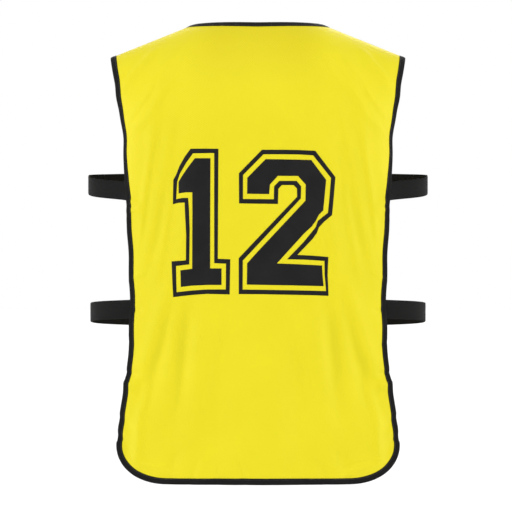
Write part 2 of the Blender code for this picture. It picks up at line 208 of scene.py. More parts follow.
FRONT_CREASES = (
    Crease(((0.148, -0.016), (0.163, -0.024), (0.186, -0.050), (0.208, -0.074),
            (0.224, -0.084)), 0.0062, 0.0070, 0.0034, 0.0040),
    Crease(((0.148, -0.062), (0.165, -0.100), (0.183, -0.126), (0.201, -0.150),
            (0.210, -0.170)), 0.0058, 0.0044, -0.0020, -0.0016),
    Crease(((0.112, -0.040), (0.127, -0.072), (0.150, -0.106), (0.166, -0.136),
            (0.197, -0.170)), 0.0060, 0.0048, 0.0014, 0.0019),
    Crease(((0.112, -0.085), (0.131, -0.150), (0.139, -0.200), (0.151, -0.262),
            (0.161, -0.312), (0.171, -0.352), (0.186, -0.412)), 0.0088, 0.0108, 0.0040, 0.0048),
    Crease(((0.152, -0.130), (0.165, -0.200), (0.1742, -0.255), (0.1823, -0.315),
            (0.188, -0.370)), 0.0042, 0.0068, 0.0021, 0.0016),
    Crease(((0.120, -0.170), (0.131, -0.220), (0.1362, -0.275), (0.1418, -0.315),
            (0.1503, -0.365), (0.1625, -0.430)), 0.0064, 0.0084, 0.0026, 0.0032),
    Crease(((0.098, -0.225), (0.099, -0.290), (0.112, -0.370), (0.116, -0.450)),
           0.0140, 0.0160, 0.0036, 0.0030),
    Crease(((0.062, -0.180), (0.058, -0.270), (0.061, -0.360), (0.070, -0.470)),
           0.0170, 0.0140, 0.0022, 0.0028),
    Crease(((0.212, -0.242), (0.193, -0.248), (0.178, -0.253)), 0.0028, 0.0062, 0.0020, 0.0022),
    Crease(((0.212, -0.262), (0.194, -0.263), (0.180, -0.266)), 0.0028, 0.0066, 0.0022, 0.0018),
    Crease(((0.210, -0.402), (0.190, -0.388), (0.172, -0.383)), 0.0027, 0.0030, 0.0012, 0.0009),
    Crease(((0.210, -0.436), (0.193, -0.443), (0.178, -0.444)), 0.0052, 0.0050, -0.0012, -0.0013),
    Crease(((0.132, -0.375), (0.1425, -0.434), (0.1511, -0.465), (0.1592, -0.495),
            (0.1688, -0.522), (0.1792, -0.546), (0.1925, -0.564), (0.216, -0.582)),
           0.0105, 0.0145, 0.0064, 0.0058),
    Crease(((0.092, -0.370), (0.115, -0.436), (0.124, -0.476), (0.1270, -0.515),
            (0.1300, -0.560), (0.142, -0.648)), 0.0128, 0.0146, 0.0050, 0.0056),
    Crease(((0.092, -0.420), (0.087, -0.480), (0.0915, -0.530), (0.100, -0.610)),
           0.0240, 0.0160, 0.0030, 0.0036),
    Crease(((0.050, -0.380), (0.060, -0.470), (0.0715, -0.550), (0.084, -0.660)),
           0.0120, 0.0250, 0.0034, 0.0026),
    Crease(((0.170, -0.520), (0.1752, -0.574), (0.1845, -0.607), (0.1862, -0.635),
            (0.1880, -0.658), (0.193, -0.702)), 0.0068, 0.0088, 0.0040, 0.0037),
    Crease(((0.210, -0.648), (0.186, -0.672), (0.167, -0.675), (0.144, -0.683),
            (0.108, -0.695)), 0.0042, 0.0120, 0.0030, 0.0033),
    Crease(((0.222, -0.498), (0.197, -0.503), (0.179, -0.514)), 0.0056, 0.0054, -0.0013, -0.0014),
    Crease(((0.232, -0.566), (0.206, -0.571), (0.186, -0.580)), 0.0046, 0.0080, -0.0022, -0.0020),
    Crease(((0.240, -0.606), (0.212, -0.620), (0.192, -0.636)), 0.0056, 0.0110, -0.0026, -0.0028),
    Crease(((0.028, -0.724), (0.032, -0.690), (0.040, -0.648)), 0.0060, 0.0062, -0.0010, -0.0018),
    Crease(((0.075, -0.724), (0.074, -0.694), (0.066, -0.655)), 0.0058, 0.0060, -0.0019, -0.0010),
    Crease(((0.126, -0.724), (0.112, -0.690), (0.101, -0.648)), 0.0060, 0.0068, -0.0017, -0.0022),
    Crease(((0.150, -0.716), (0.142, -0.684), (0.129, -0.634)), 0.0096, 0.0103, -0.0024, -0.0028),
)

Strap = namedtuple("Strap", "name back_z side_z front_z reach_x")
STRAPS = (
    Strap("upper", -0.2410, -0.2287, -0.2233, 0.2735),
    Strap("lower", -0.4279, -0.4357, -0.4425, 0.2701),
)


def smooth_between(keys, values, at):
    """A smooth curve through values at keys, read at other places between them."""
    slopes = np.gradient(values, keys)
    low = np.clip(np.searchsorted(keys, at, side="right") - 1, 0, len(keys) - 2)
    span = keys[low + 1] - keys[low]
    t = (at - keys[low]) / span
    return (
        values[low] * (1 + 2 * t) * (1 - t) ** 2
        + slopes[low] * span * t * (1 - t) ** 2
        + values[low + 1] * t**2 * (3 - 2 * t)
        + slopes[low + 1] * span * t**2 * (t - 1)
    )


def smooth_rows(rows, key, value, at):
    table = sorted((getattr(row, key), getattr(row, value)) for row in rows)
    keys, values = (np.array(column) for column in zip(*table))
    return smooth_between(keys, values, np.clip(np.asarray(at, float), keys[0], keys[-1]))


def ridge_height(x):
    out = np.abs(x)
    slope_part = (SHOULDER_MID_X - np.maximum(out, NECK_HALF)) * SHOULDER_SLOPE
    within = np.clip(1 - (out / NECK_HALF) ** 2, 0, None)
    return slope_part + SHOULDER_SLOPE * NECK_HALF / 2 * within


def cap_reach(drop, cap_drop):
    share = np.clip(drop / cap_drop, 0, 1)
    return np.sqrt(1 - (1 - share) ** CAP_POWER)


def profile_table(cap_drop):
    drops = np.linspace(0, 1, PROFILE_STEPS) ** 2 * PROFILE_DROP
    reach = PROFILE_DEPTH * cap_reach(drops, cap_drop)
    steps = np.hypot(np.diff(drops), np.diff(reach))
    return np.concatenate(([0.0], np.cumsum(steps))), drops


BACK_PROFILE = profile_table(BACK_CAP_DROP)
FRONT_PROFILE = profile_table(FRONT_CAP_DROP)


def drop_at(along):
    return np.where(
        along < 0, np.interp(-along, *BACK_PROFILE), np.interp(along, *FRONT_PROFILE)
    )


def along_at(drop, side):
    distances, drops = BACK_PROFILE if side < 0 else FRONT_PROFILE
    return side * np.interp(drop, drops, distances)


def crease_line(crease):
    """A crease as its place across the line's own direction: axis, keys, values and slant."""
    points = np.array(crease.line)
    axis = int(abs(points[-1, 1] - points[0, 1]) > abs(points[-1, 0] - points[0, 0]))
    points = points[np.argsort(points[:, axis])]
    keys, values = points[:, axis], points[:, 1 - axis]
    fine = np.linspace(keys[0], keys[-1], 60)
    curve = smooth_between(keys, values, fine)
    slant = 1 / np.hypot(1, np.gradient(curve, fine))
    return axis, fine, curve, slant


def with_lines(creases):
    return [(crease, crease_line(crease)) for crease in creases]


BACK_CREASES = with_lines(BACK_CREASES)
FRONT_CREASES = with_lines(FRONT_CREASES)


def eased(share):
    share = np.clip(share, 0, 1)
    return share**2 * (3 - 2 * share)


def fold_lift(x, z, folds, creases):
    """How far the folds and creases move the cloth out, at points x across and z high."""
    total = np.zeros_like(x)
    for fold in folds:
        down = np.clip((fold.top_z - z) / (fold.top_z - fold.foot_z), 0, 1)
        line = fold.top_x + (fold.foot_x - fold.top_x) * down
        line = line + 4 * fold.bow * down * (1 - down)
        fade = np.sin(pi * down) * eased(np.minimum(down, 1 - down) / FOLD_FADE)
        total += fade * fold.right * np.exp(-(((x - line) / fold.width) ** 2))
        total += fade * fold.left * np.exp(-(((x + line) / fold.width) ** 2))
    out = np.abs(x)
    for crease, (axis, keys, values, slants) in creases:
        key, value = (z, out) if axis else (out, z)
        share = np.clip((key - keys[0]) / (keys[-1] - keys[0]), 0, 1)
        off = (value - np.interp(key, keys, values)) * np.interp(key, keys, slants)
        outer = off > 0 if axis else off < 0
        off = off / np.where(outer, crease.outer, crease.inner)
        height = np.where(x < 0, crease.left, crease.right)
        total += height * eased(np.minimum(share, 1 - share) / CREASE_FADE) * np.exp(-(off**2))
    return total


def smooth_cloth(x, along):
    drop = drop_at(along)
    z = ridge_height(x) - drop
    close_x = smooth_rows(RINGS, "z", "close_x", z)
    ring = (1 - np.clip(np.abs(x) / close_x, 0, 1) ** RING_POWER) ** (1 / RING_POWER)
    back = smooth_rows(RINGS, "z", "back", z)
    front = smooth_rows(RINGS, "z", "front", z)
    y_back = -back * ring * cap_reach(drop, BACK_CAP_DROP)
    y_front = front * ring * cap_reach(drop, FRONT_CAP_DROP)
    return np.stack([x, np.where(along < 0, y_back, y_front), z], axis=-1)


def outward(surface, x, along):
    across = surface(x + NORMAL_STEP, along) - surface(x - NORMAL_STEP, along)
    down = surface(x, along + NORMAL_STEP) - surface(x, along - NORMAL_STEP)
    normal = np.cross(across, down)
    return normal / np.linalg.norm(normal, axis=-1, keepdims=True)


def folded_cloth(x, along):
    points = smooth_cloth(x, along)
    z = points[..., 2]
    lift = np.where(
        along < 0,
        fold_lift(x, z, BACK_FOLDS, BACK_CREASES),
        fold_lift(x, z, FRONT_FOLDS, FRONT_CREASES),
    )
    # the shoulder seam pulls the cloth in a little
    lift = lift - SEAM_PULL * np.exp(-((along / SEAM_PULL_REACH) ** 2))
    return points + lift[..., None] * outward(smooth_cloth, x, along)


def cloth_point(x, along, lift=0.0):
    x, along = np.broadcast_arrays(np.asarray(x, float), np.asarray(along, float))
    points = folded_cloth(x, along)
    return points + np.asarray(lift)[..., None] * outward(folded_cloth, x, along)


def lengths_of(line):
    return np.concatenate(([0], np.cumsum(np.linalg.norm(np.diff(line, axis=0), axis=1))))


def even_steps(line, steps):
    lengths = lengths_of(line)
    at = np.linspace(0, lengths[-1], steps + 1)
    return np.stack([np.interp(at, lengths, column) for column in line.T], axis=-1)


def mirrored(line):
    return line * np.array([-1.0, 1.0])


def neck_line(side):
    share = np.sin(np.linspace(-pi / 2, pi / 2, 2 * NECK_STEPS + 1))
    depth = BACK_NECK_DROP if side < 0 else FRONT_NECK_DROP
    power = BACK_NECK_POWER if side < 0 else FRONT_NECK_POWER
    drop = depth * (1 - np.abs(share) ** power)
    return np.stack([NECK_HALF * share, along_at(drop, side)], axis=-1)


def corner_line(side, start, end, steps):
    angle = np.radians(np.linspace(start, end, 400))
    x = EDGES[-1].half_width - CORNER_WIDTH * (1 - np.cos(angle) ** (2 / CORNER_POWER))
    z = HEM_Z + CORNER_HEIGHT * (1 - np.sin(angle) ** (2 / CORNER_POWER))
    line = np.stack([x, along_at(ridge_height(x) - z, side)], axis=-1)
    return even_steps(line, steps)


def side_line(side):
    corner = corner_line(side, 0, 45, CORNER_STEPS)
    shares = np.linspace(0, 1, SIDE_STEPS + 1)[:-1] ** 1.1
    along = side * SEAM_GAP + (corner[0, 1] - side * SEAM_GAP) * shares
    x = smooth_rows(EDGES, "drop", "half_width", drop_at(along))
    return np.concatenate([np.stack([x, along], axis=-1), corner])


def hem_line(side):
    corner = corner_line(side, 45, 90, CORNER_STEPS)
    x = np.linspace(corner[-1, 0], -corner[-1, 0], HEM_STEPS + 1)[1:-1]
    straight = np.stack([x, along_at(ridge_height(x) - HEM_Z, side)], axis=-1)
    return np.concatenate([corner, straight, mirrored(corner)[::-1]])


def inward_steps(line, closed):
    """Steps in (x, along) to one side of an edge, each one metre long on the cloth."""
    if closed:
        ahead, behind = np.roll(line, -1, axis=0), np.roll(line, 1, axis=0)
    else:
        ahead = np.concatenate([line[1:], line[-1:]])
        behind = np.concatenate([line[:1], line[:-1]])
    tangent = ahead - behind
    step = np.stack([-tangent[:, 1], tangent[:, 0]], axis=-1)
    if not closed:
        step[[0, -1], 1] = 0.0
    step = step / np.linalg.norm(step, axis=-1, keepdims=True)
    moved = cloth_point(*(line + BINDING_WIDTH * step).T) - cloth_point(*line.T)
    return step * BINDING_WIDTH / np.linalg.norm(moved, axis=-1, keepdims=True)


def outer_edge(side):
    half = side_line(side)
    line = np.concatenate([half, hem_line(side)[1:-1], mirrored(half)[::-1]])
    return line, side * inward_steps(line, closed=False)


def neck_edge():
    line = np.concatenate([neck_line(-1)[:-1], neck_line(1)[:0:-1]])
    line[[0, 2 * NECK_STEPS], 1] = 0.0
    step = -inward_steps(line, closed=True)
    step[[0, 2 * NECK_STEPS], 1] = 0.0
    return line, step


def bands(side):
    line, step = outer_edge(side)
    outer = np.stack([line + BINDING_WIDTH * step, line], axis=1)
    line, step = neck_edge()
    neck = np.stack([line + BINDING_WIDTH * step, line], axis=1)
    if side < 0:
        neck = neck[: 2 * NECK_STEPS + 1]
    else:
        neck = np.concatenate([neck[2 * NECK_STEPS :], neck[:1]])
    neck[[0, -1], :, 1] = side * SEAM_GAP
    return outer, neck


def blend_grid(top, bottom, left, right):
    def shares(a, b):
        return np.mean([lengths_of(line) / lengths_of(line)[-1] for line in (a, b)], axis=0)

    across = shares(top, bottom)[None, :, None]
    down = shares(left, right)[:, None, None]
    corners = (1 - down) * ((1 - across) * top[0] + across * top[-1]) + down * (
        (1 - across) * bottom[0] + across * bottom[-1]
    )
    return (
        (1 - down) * top + down * bottom + (1 - across) * left[:, None]
        + across * right[:, None] - corners
    )


def panel_plans(side):
    """The panel's field and its bound strips, as grids of (x, along)."""
    outer, neck = bands(side)
    rim = outer[:, 0]
    down = SIDE_STEPS + CORNER_STEPS
    right, bottom, left = rim[: down + 1], rim[down : -down][::-1], rim[-down - 1 :][::-1]
    neck_rim = neck[::-side, 0]
    seam = np.linspace(neck_rim[-1], right[0], SHOULDER_STEPS + 1)[1:]
    top = np.concatenate([mirrored(seam)[::-1], neck_rim, seam])
    return [blend_grid(top, bottom, left, right), outer, neck]


# Materials
class Nodes:
    """Small helper that adds nodes and links to a material."""

    def __init__(self, name):
        self.material = bpy.data.materials.new(name)
        self.material.use_nodes = True
        self.tree = self.material.node_tree
        self.shader = self.tree.nodes["Principled BSDF"]

    def add(self, kind, inputs=(), **settings):
        node = self.tree.nodes.new("ShaderNode" + kind)
        for key, value in settings.items():
            setattr(node, key, value)
        for key, value in dict(inputs).items():
            self.put(node.inputs[key], value)
        return node

    def put(self, socket, value):
        if isinstance(value, bpy.types.NodeSocket):
            self.tree.links.new(value, socket)
        else:
            socket.default_value = value

    def math(self, operation, a, b=0.5, c=0.5, clamp=False):
        node = self.add("Math", operation=operation, use_clamp=clamp)
        for socket, value in zip(node.inputs, (a, b, c)):
            self.put(socket, value)
        return node.outputs[0]

    def ramp(self, value, low, high):
        """Smoothly from 0 at low to 1 at high."""
        node = self.add("MapRange", interpolation_type="SMOOTHSTEP")
        self.put(node.inputs["Value"], value)
        self.put(node.inputs["From Min"], low)
        self.put(node.inputs["From Max"], high)
        return node.outputs["Result"]

    def mix(self, share, a, b):
        node = self.add("Mix", data_type="RGBA")
        self.put(node.inputs["Factor"], share)
        self.put(node.inputs[6], a)
        self.put(node.inputs[7], b)
        return node.outputs[2]

    def place(self, scale, turn=0.0):
        """Coordinates on the cloth, in units of scale metres."""
        uv = self.add("UVMap", uv_map="cloth").outputs[0]
        mapping = self.add("Mapping", {"Vector": uv})
        mapping.inputs["Rotation"].default_value = (0, 0, turn)
        mapping.inputs["Scale"].default_value = tuple(1 / s for s in (*scale, scale[0]))
        return mapping.outputs[0]

    def noise(self, size, detail=2.0, rough=0.5, where=None):
        vector = self.place((size, size)) if where is None else where
        node = self.add("TexNoise", {"Vector": vector, "Scale": 1.0})
        node.inputs["Detail"].default_value = detail
        node.inputs["Roughness"].default_value = rough
        return node.outputs["Fac"]

    def stripes(self, size, turn=0.0, wobble=0.0):
        vector = self.place((size, size), turn)
        node = self.add("TexWave", {"Vector": vector}, wave_type="BANDS", wave_profile="SIN")
        node.inputs["Scale"].default_value = 1 / (2 * pi) * 2
        node.inputs["Distortion"].default_value = wobble
        node.inputs["Detail"].default_value = 1.0
        return node.outputs["Fac"]

    def dimples(self, near, far):
        """A lattice of small dimples: 1 in each dimple, 0 between them."""
        lattice = self.add(
            "TexVoronoi", {"Vector": self.place((0.0021, 0.0021), pi / 4), "Scale": 1.0},
            voronoi_dimensions="2D", feature="F1",
        )
        lattice.inputs["Randomness"].default_value = 0.06
        return self.math("SUBTRACT", 1.0, self.ramp(lattice.outputs["Distance"], near, far))

    def bump(self, height, distance, strength=1.0, below=None):
        node = self.add("Bump", {"Height": height})
        node.inputs["Distance"].default_value = distance
        node.inputs["Strength"].default_value = strength
        if below is not None:
            self.tree.links.new(below, node.inputs["Normal"])
        return node.outputs[0]

    def finish(self, colour, roughness, normal, **constants):
        self.put(self.shader.inputs["Base Color"], colour)
        self.put(self.shader.inputs["Roughness"], roughness)
        self.put(self.shader.inputs["Normal"], normal)
        for key, value in constants.items():
            self.shader.inputs[key.replace("_", " ")].default_value = value
        return self.material


def knit_material(name):
    """Smooth yellow polyester knit with a fine lattice of small dimples."""
    n = Nodes(name)
    dimple = n.dimples(0.16, 0.40)
    wale = n.stripes(0.0011)
    course = n.stripes(0.0009, pi / 2, 0.4)
    yarn = n.math("ADD", n.math("MULTIPLY", wale, 0.6), n.math("MULTIPLY", course, 0.4))
    slub = n.noise(0.012, 4.0, 0.6)
    patch = n.noise(0.09, 2.0, 0.5)
    tone = n.mix(
        n.ramp(patch, 0.35, 0.7), (0.624, 0.541, 0.0038, 1), (0.639, 0.555, 0.0050, 1)
    )
    # painted shade: the knit is darker inside its dimples
    tone = n.mix(n.math("MULTIPLY", dimple, 0.22), tone, (0.515, 0.415, 0.002, 1))
    tone = n.mix(n.math("MULTIPLY", n.ramp(slub, 0.62, 0.80), 0.06), tone, (0.72, 0.65, 0.05, 1))
    uv = n.add("SeparateXYZ", {"Vector": n.place((1.0, 1.0))})
    # painted shade: the knit's colour is darkened under the back neckline, in the middle, where the
    # cloth lies a little in shade
    under = n.ramp(uv.outputs[1], -0.190, -0.090)
    behind = n.math("SUBTRACT", 1.0, n.ramp(uv.outputs[1], -0.004, 0.004))
    middle = n.math("SUBTRACT", 1.0, n.ramp(n.math("ABSOLUTE", uv.outputs[0]), 0.055, 0.125))
    # mask of the painted shade under the back neckline, made uneven by the tone noise
    wear_and_painted_shade = n.math("MULTIPLY", n.math("MULTIPLY", under, behind), middle)
    wear_and_painted_shade = n.math("MULTIPLY", wear_and_painted_shade, n.math("ADD", 0.70, n.math("MULTIPLY", patch, 0.6)))
    # painted shade: the darker yellow that stands for the shade under the back neckline
    tone = n.mix(n.math("MULTIPLY", wear_and_painted_shade, 0.75), tone, (0.553, 0.462, 0.0012, 1))
    rough = n.math("ADD", 0.50, n.math("MULTIPLY", slub, 0.14))
    fine = n.bump(yarn, 0.00006, 0.5)
    holes = n.bump(n.math("MULTIPLY", dimple, -1.0), 0.00022, 0.7, fine)
    drape = n.noise(0.02, 2.0, 0.5, n.place((0.022, 0.110)))
    crinkle = n.noise(0.01, 3.0, 0.55, n.place((0.013, 0.008), 0.5))
    low = n.math("SUBTRACT", 1.0, n.ramp(uv.outputs[1], -0.72, -0.50))
    crinkle = n.math("MULTIPLY", crinkle, n.math("ADD", 0.35, low))
    soft = n.bump(drape, 0.0012, 0.30, n.bump(crinkle, 0.0007, 0.28, holes))
    return n.finish(
        tone, rough, soft,
        Sheen_Weight=0.06, Sheen_Roughness=0.45, Sheen_Tint=(1.0, 0.96, 0.55, 1),
        Specular_IOR_Level=0.22,
    )


def tape_material(name):
    """Black knit tape: fine diagonal rib and a little lint."""
    n = Nodes(name)
    rib = n.stripes(0.0010, radians(28))
    cross = n.stripes(0.0008, radians(-62), 0.5)
    lint = n.noise(0.004, 4.0, 0.7)
    dark, light = (0.0040, 0.0038, 0.0038, 1), (0.0062, 0.0060, 0.0057, 1)
    shade = n.mix(n.ramp(n.noise(0.05), 0.3, 0.7), dark, light)
    shade = n.mix(n.math("MULTIPLY", rib, 0.35), shade, (0.0100, 0.0095, 0.0090, 1))
    specks = n.math("MULTIPLY", n.ramp(lint, 0.64, 0.78), 0.35)
    shade = n.mix(specks, shade, (0.026, 0.024, 0.021, 1))
    weave = n.bump(n.math("ADD", rib, n.math("MULTIPLY", cross, 0.6)), 0.00012, 0.7)
    soft = n.bump(n.noise(0.009, 2.0), 0.0004, 0.35, weave)
    rough = n.math("ADD", 0.66, n.math("MULTIPLY", lint, 0.16))
    return n.finish(
        shade, rough, soft, Sheen_Weight=0.02, Sheen_Roughness=0.5,
        Sheen_Tint=(0.9, 0.88, 0.85, 1), Specular_IOR_Level=0.09,
    )


def elastic_material(name):
    """Black woven elastic: cords along its length and picks across them."""
    n = Nodes(name)
    cord = n.stripes(0.0021)
    pick = n.stripes(0.00085, pi / 2, 0.3)
    mesh = n.math("ADD", n.math("MULTIPLY", cord, 0.55), n.math("MULTIPLY", pick, 0.6))
    lint = n.noise(0.005, 4.0, 0.7)
    shade = n.mix(n.ramp(mesh, 0.2, 1.0), (0.0022, 0.0022, 0.0022, 1), (0.0080, 0.0078, 0.0074, 1))
    shade = n.mix(n.math("MULTIPLY", n.ramp(lint, 0.62, 0.8), 0.4), shade, (0.022, 0.021, 0.019, 1))
    weave = n.bump(mesh, 0.00022, 0.8)
    rough = n.math("ADD", 0.62, n.math("MULTIPLY", pick, 0.14))
    return n.finish(
        shade, rough, weave, Sheen_Weight=0.02, Sheen_Roughness=0.5,
        Sheen_Tint=(0.9, 0.88, 0.85, 1), Specular_IOR_Level=0.10,
    )


def print_material(name):
    """Flat black transfer print, with the knit showing through it and slight wear."""
    n = Nodes(name)
    dimple = n.dimples(0.10, 0.36)
    patch = n.noise(0.035, 3.0, 0.55)
    shade = n.mix(n.ramp(patch, 0.3, 0.72), (0.0055, 0.0055, 0.0060, 1), (0.0085, 0.0082, 0.0082, 1))
    wear_and_painted_shade = n.ramp(n.noise(0.0016, 5.0, 0.7), 0.70, 0.80)
    shade = n.mix(n.math("MULTIPLY", wear_and_painted_shade, 0.35), shade, (0.09, 0.075, 0.02, 1))
    grain = n.bump(n.math("MULTIPLY", dimple, -1.0), 0.00012, 0.5)
    rough = n.math("ADD", 0.46, n.math("MULTIPLY", patch, 0.16))
    return n.finish(shade, rough, grain, Specular_IOR_Level=0.13)


def thread_material(name, colour, light):
    """Twisted sewing thread."""
    n = Nodes(name)
    ply = n.stripes(0.0005, radians(35))
    shade = n.mix(n.math("MULTIPLY", ply, 0.6), colour, light)
    return n.finish(shade, 0.55, n.bump(ply, 0.00008, 0.8), Sheen_Weight=0.3)


KNIT = knit_material("knit_yellow")
TAPE = tape_material("tape_black")
ELASTIC = elastic_material("elastic_black")
PRINT = print_material("print_black")
BLACK_THREAD = thread_material("thread_black", (0.022, 0.020, 0.019, 1), (0.060, 0.055, 0.050, 1))
YELLOW_THREAD = thread_material("thread_yellow", (0.70, 0.56, 0.012, 1), (0.90, 0.80, 0.05, 1))


# Pieces
def piece(name, grids, uvs, finish, thickness=0.0, offset=0.0, closed=False):
    """A named piece: grids of points with their places on the cloth, joined."""
    built = bmesh.new()
    uv_of = {}
    for grid, uv in zip(grids, uvs):
        rows = [[built.verts.new(point) for point in row] for row in grid]
        for i in range(len(rows) if closed else len(rows) - 1):
            after = (i + 1) % len(rows)
            for j in range(len(rows[0]) - 1):
                places = ((i, j), (after, j), (after, j + 1), (i, j + 1))
                face = built.faces.new([rows[a][b] for a, b in places])
                uv_of[face] = [tuple(uv[a][b]) for a, b in places]
    layer = built.loops.layers.uv.new("cloth")
    for face, values in uv_of.items():
        for loop, value in zip(face.loops, values):
            loop[layer].uv = value
    bmesh.ops.remove_doubles(built, verts=built.verts, dist=0.00001)
    bmesh.ops.recalc_face_normals(built, faces=built.faces)
    mesh = bpy.data.meshes.new(name)
    built.to_mesh(mesh)
    built.free()
    return placed(name, mesh, finish, thickness, offset)


def placed(name, mesh, finish, thickness=0.0, offset=0.0):
    mesh.shade_smooth()
    made = bpy.data.objects.new(name, mesh)
    made.data.materials.append(finish)
    bpy.context.scene.collection.objects.link(made)
    if thickness:
        wall = made.modifiers.new("wall", "SOLIDIFY")
        wall.thickness = thickness
        wall.offset = offset
    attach(made, "root")
    return made


def face_out(made, side):
    """Turns an open panel's faces away from the body."""
    mesh = made.data
    total = sum(p.normal.y * p.area for p in mesh.polygons)
    if total * side < 0:
        mesh.flip_normals()


# A tape folded over the edge: distance in from the cloth's edge and height over its middle
SECTION = (
    (9.30, 0.46), (9.20, 0.80), (8.70, 1.02), (8.00, 1.00), (7.30, 0.84), (6.70, 1.00),
    (5.80, 1.18), (4.40, 1.30), (2.80, 1.32), (1.30, 1.22), (0.20, 1.00), (-0.75, 0.62),
    (-1.15, 0.0),
)
STITCH_INSET = 0.0073
STITCH_LIFT = 0.00098
NECK_SPREAD = 1.17


def binding(name, line, step, closed=False, spread=1.0):
    """The folded tape with its soft bulge, its stitched groove and small puckers."""
    count = len(line)
    space = cloth_point(*line.T)
    if closed:
        run = lengths_of(np.concatenate([space, space[:1]]))[:-1]
    else:
        run = lengths_of(space)
    rng = np.random.default_rng(7)
    ripple = sum(
        a * np.sin(2 * pi * run / w + p)
        for a, w, p in zip((0.05, 0.06, 0.05), (0.011, 0.019, 0.043), rng.uniform(0, 6, 3))
    )
    section = list(SECTION) + [(inset, -lift) for inset, lift in SECTION[-2::-1]]
    columns, uv = [], []
    for k, (inset, lift) in enumerate(section):
        at = line + step * (inset * spread / 1000)
        swell = 1 + 0.9 * ripple * (1 if lift > 0.9 or lift < -0.9 else 0)
        columns.append(cloth_point(*at.T, np.full(count, lift / 1000) * swell))
        uv.append(np.stack([np.full(count, k * 0.00075), run], axis=-1))
    grid, places = np.stack(columns, axis=1), np.stack(uv, axis=1)
    return piece(name, [grid], [places], TAPE, 0.0004, -1.0, closed)


def stitches(name, paths, finish, length=0.0024, gap=0.0007, radius=0.00019):
    """Rows of sewing stitches: each path gives points and outward directions."""
    verts, faces, uvs = [], [], []
    for points, normals in paths:
        run = lengths_of(points)
        count = max(1, int(run[-1] / (length + gap)))
        pitch = run[-1] / count
        for k in range(count):
            ends = np.array([k * pitch + gap / 2, (k + 1) * pitch - gap / 2])
            knots = ends[0] + (ends[1] - ends[0]) * np.array([0.0, 0.12, 0.5, 0.88, 1.0])
            centre = np.stack([np.interp(knots, run, c) for c in points.T], axis=-1)
            up = np.stack([np.interp(knots, run, c) for c in normals.T], axis=-1)
            up /= np.linalg.norm(up, axis=1, keepdims=True)
            way = centre[-1] - centre[0]
            way /= np.linalg.norm(way)
            across = np.cross(way, up)
            across /= np.linalg.norm(across, axis=1, keepdims=True)
            rise = np.array([-0.9, 0.15, 0.45, 0.15, -0.9]) * radius
            size = np.array([0.35, 0.95, 1.0, 0.95, 0.35]) * radius
            base = len(verts)
            for r in range(5):
                for a in range(6):
                    turn = 2 * pi * a / 6
                    verts.append(
                        centre[r] + up[r] * (rise[r] + size[r] * sin(turn))
                        + across[r] * size[r] * cos(turn)
                    )
                    uvs.append((a * radius, knots[r]))
            for r in range(4):
                for a in range(6):
                    b = (a + 1) % 6
                    faces.append((base + r * 6 + a, base + r * 6 + b,
                                  base + r * 6 + 6 + b, base + r * 6 + 6 + a))
            faces.append(tuple(base + a for a in reversed(range(6))))
            faces.append(tuple(base + 24 + a for a in range(6)))
    mesh = bpy.data.meshes.new(name)
    mesh.from_pydata([tuple(v) for v in verts], [], faces)
    layer = mesh.uv_layers.new(name="cloth")
    order = np.zeros(len(mesh.loops), np.int32)
    mesh.loops.foreach_get("vertex_index", order)
    layer.data.foreach_set("uv", np.array(uvs, np.float32)[order].ravel())
    return placed(name, mesh, finish)


def stitch_path(line, lift):
    """Points and outward directions of a stitched line at a height over the cloth."""
    points = cloth_point(*line.T, lift)
    normals = outward(folded_cloth, *line.T) * np.sign(lift)
    return points, normals


panels, bindings = {}, {}
for word, side in (("back", -1), ("front", 1)):
    plans = panel_plans(side)
    grids = [cloth_point(*np.moveaxis(plan, -1, 0)) for plan in plans]
    panel = piece(word + "_cloth", grids, plans, KNIT, CLOTH, 0.0)
    face_out(panel, side)
    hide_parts(word + "_panel")
    line, step = outer_edge(side)
    edge = binding(word + "_edge_tape", line, step)
    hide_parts(word + "_edge_binding")
    sewn = line + step * STITCH_INSET
    thread = stitches(
        word + "_edge_stitches",
        [stitch_path(sewn, STITCH_LIFT), stitch_path(sewn, -STITCH_LIFT)],
        BLACK_THREAD,
    )
    panels[word], bindings[word] = panel, [edge, thread]

line, step = neck_edge()
collar = binding("neck_tape", line, step, closed=True, spread=NECK_SPREAD)
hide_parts("neck_binding")
sewn = np.concatenate([line, line[:1]])
sewn += np.concatenate([step, step[:1]]) * (STITCH_INSET * NECK_SPREAD)
collar_thread = stitches(
    "neck_stitches", [stitch_path(sewn, STITCH_LIFT), stitch_path(sewn, -STITCH_LIFT)],
    BLACK_THREAD,
)

# shoulder seams: the turned seam allowance inside and a topstitched row outside
for hand, word in ((-1, "left"), (1, "right")):
    xs = hand * np.linspace(NECK_HALF + 0.009, EDGES[0].half_width - 0.0085, 60)
    strip = []
    for along in (-0.0085, -0.0060, -0.0035, -0.0010):
        strip.append(np.stack([xs, np.full_like(xs, along)], axis=-1))
    plan = np.stack(strip, axis=1)
    wave = 0.0001 * np.sin(np.arange(60) * 1.9)[:, None]
    points = cloth_point(plan[..., 0], plan[..., 1], -0.0010 - np.abs(wave) + np.zeros((60, 4)))
    allowance = piece(f"{word}_seam_allowance", [points], [plan], KNIT, 0.0006, 0.0)
    top = np.stack([xs, np.full_like(xs, -0.0048)], axis=-1)
    thread = stitches(
        f"{word}_shoulder_stitches", [stitch_path(top, 0.00048)], YELLOW_THREAD
    )


# Side straps
def strap_end(side, hand, z, inset, lift=-0.0024):
    """Places of a strap at heights z, inset from the panel's edge on the panel's inside."""
    z, inset = np.broadcast_arrays(np.asarray(z, float), np.asarray(inset, float))
    half_width = np.full(z.shape, EDGES[-1].half_width)
    for _ in range(6):
        half_width = smooth_rows(EDGES, "drop", "half_width", ridge_height(half_width) - z)
    x = hand * (half_width - inset)
    return cloth_point(x, along_at(ridge_height(half_width) - z, side), lift)


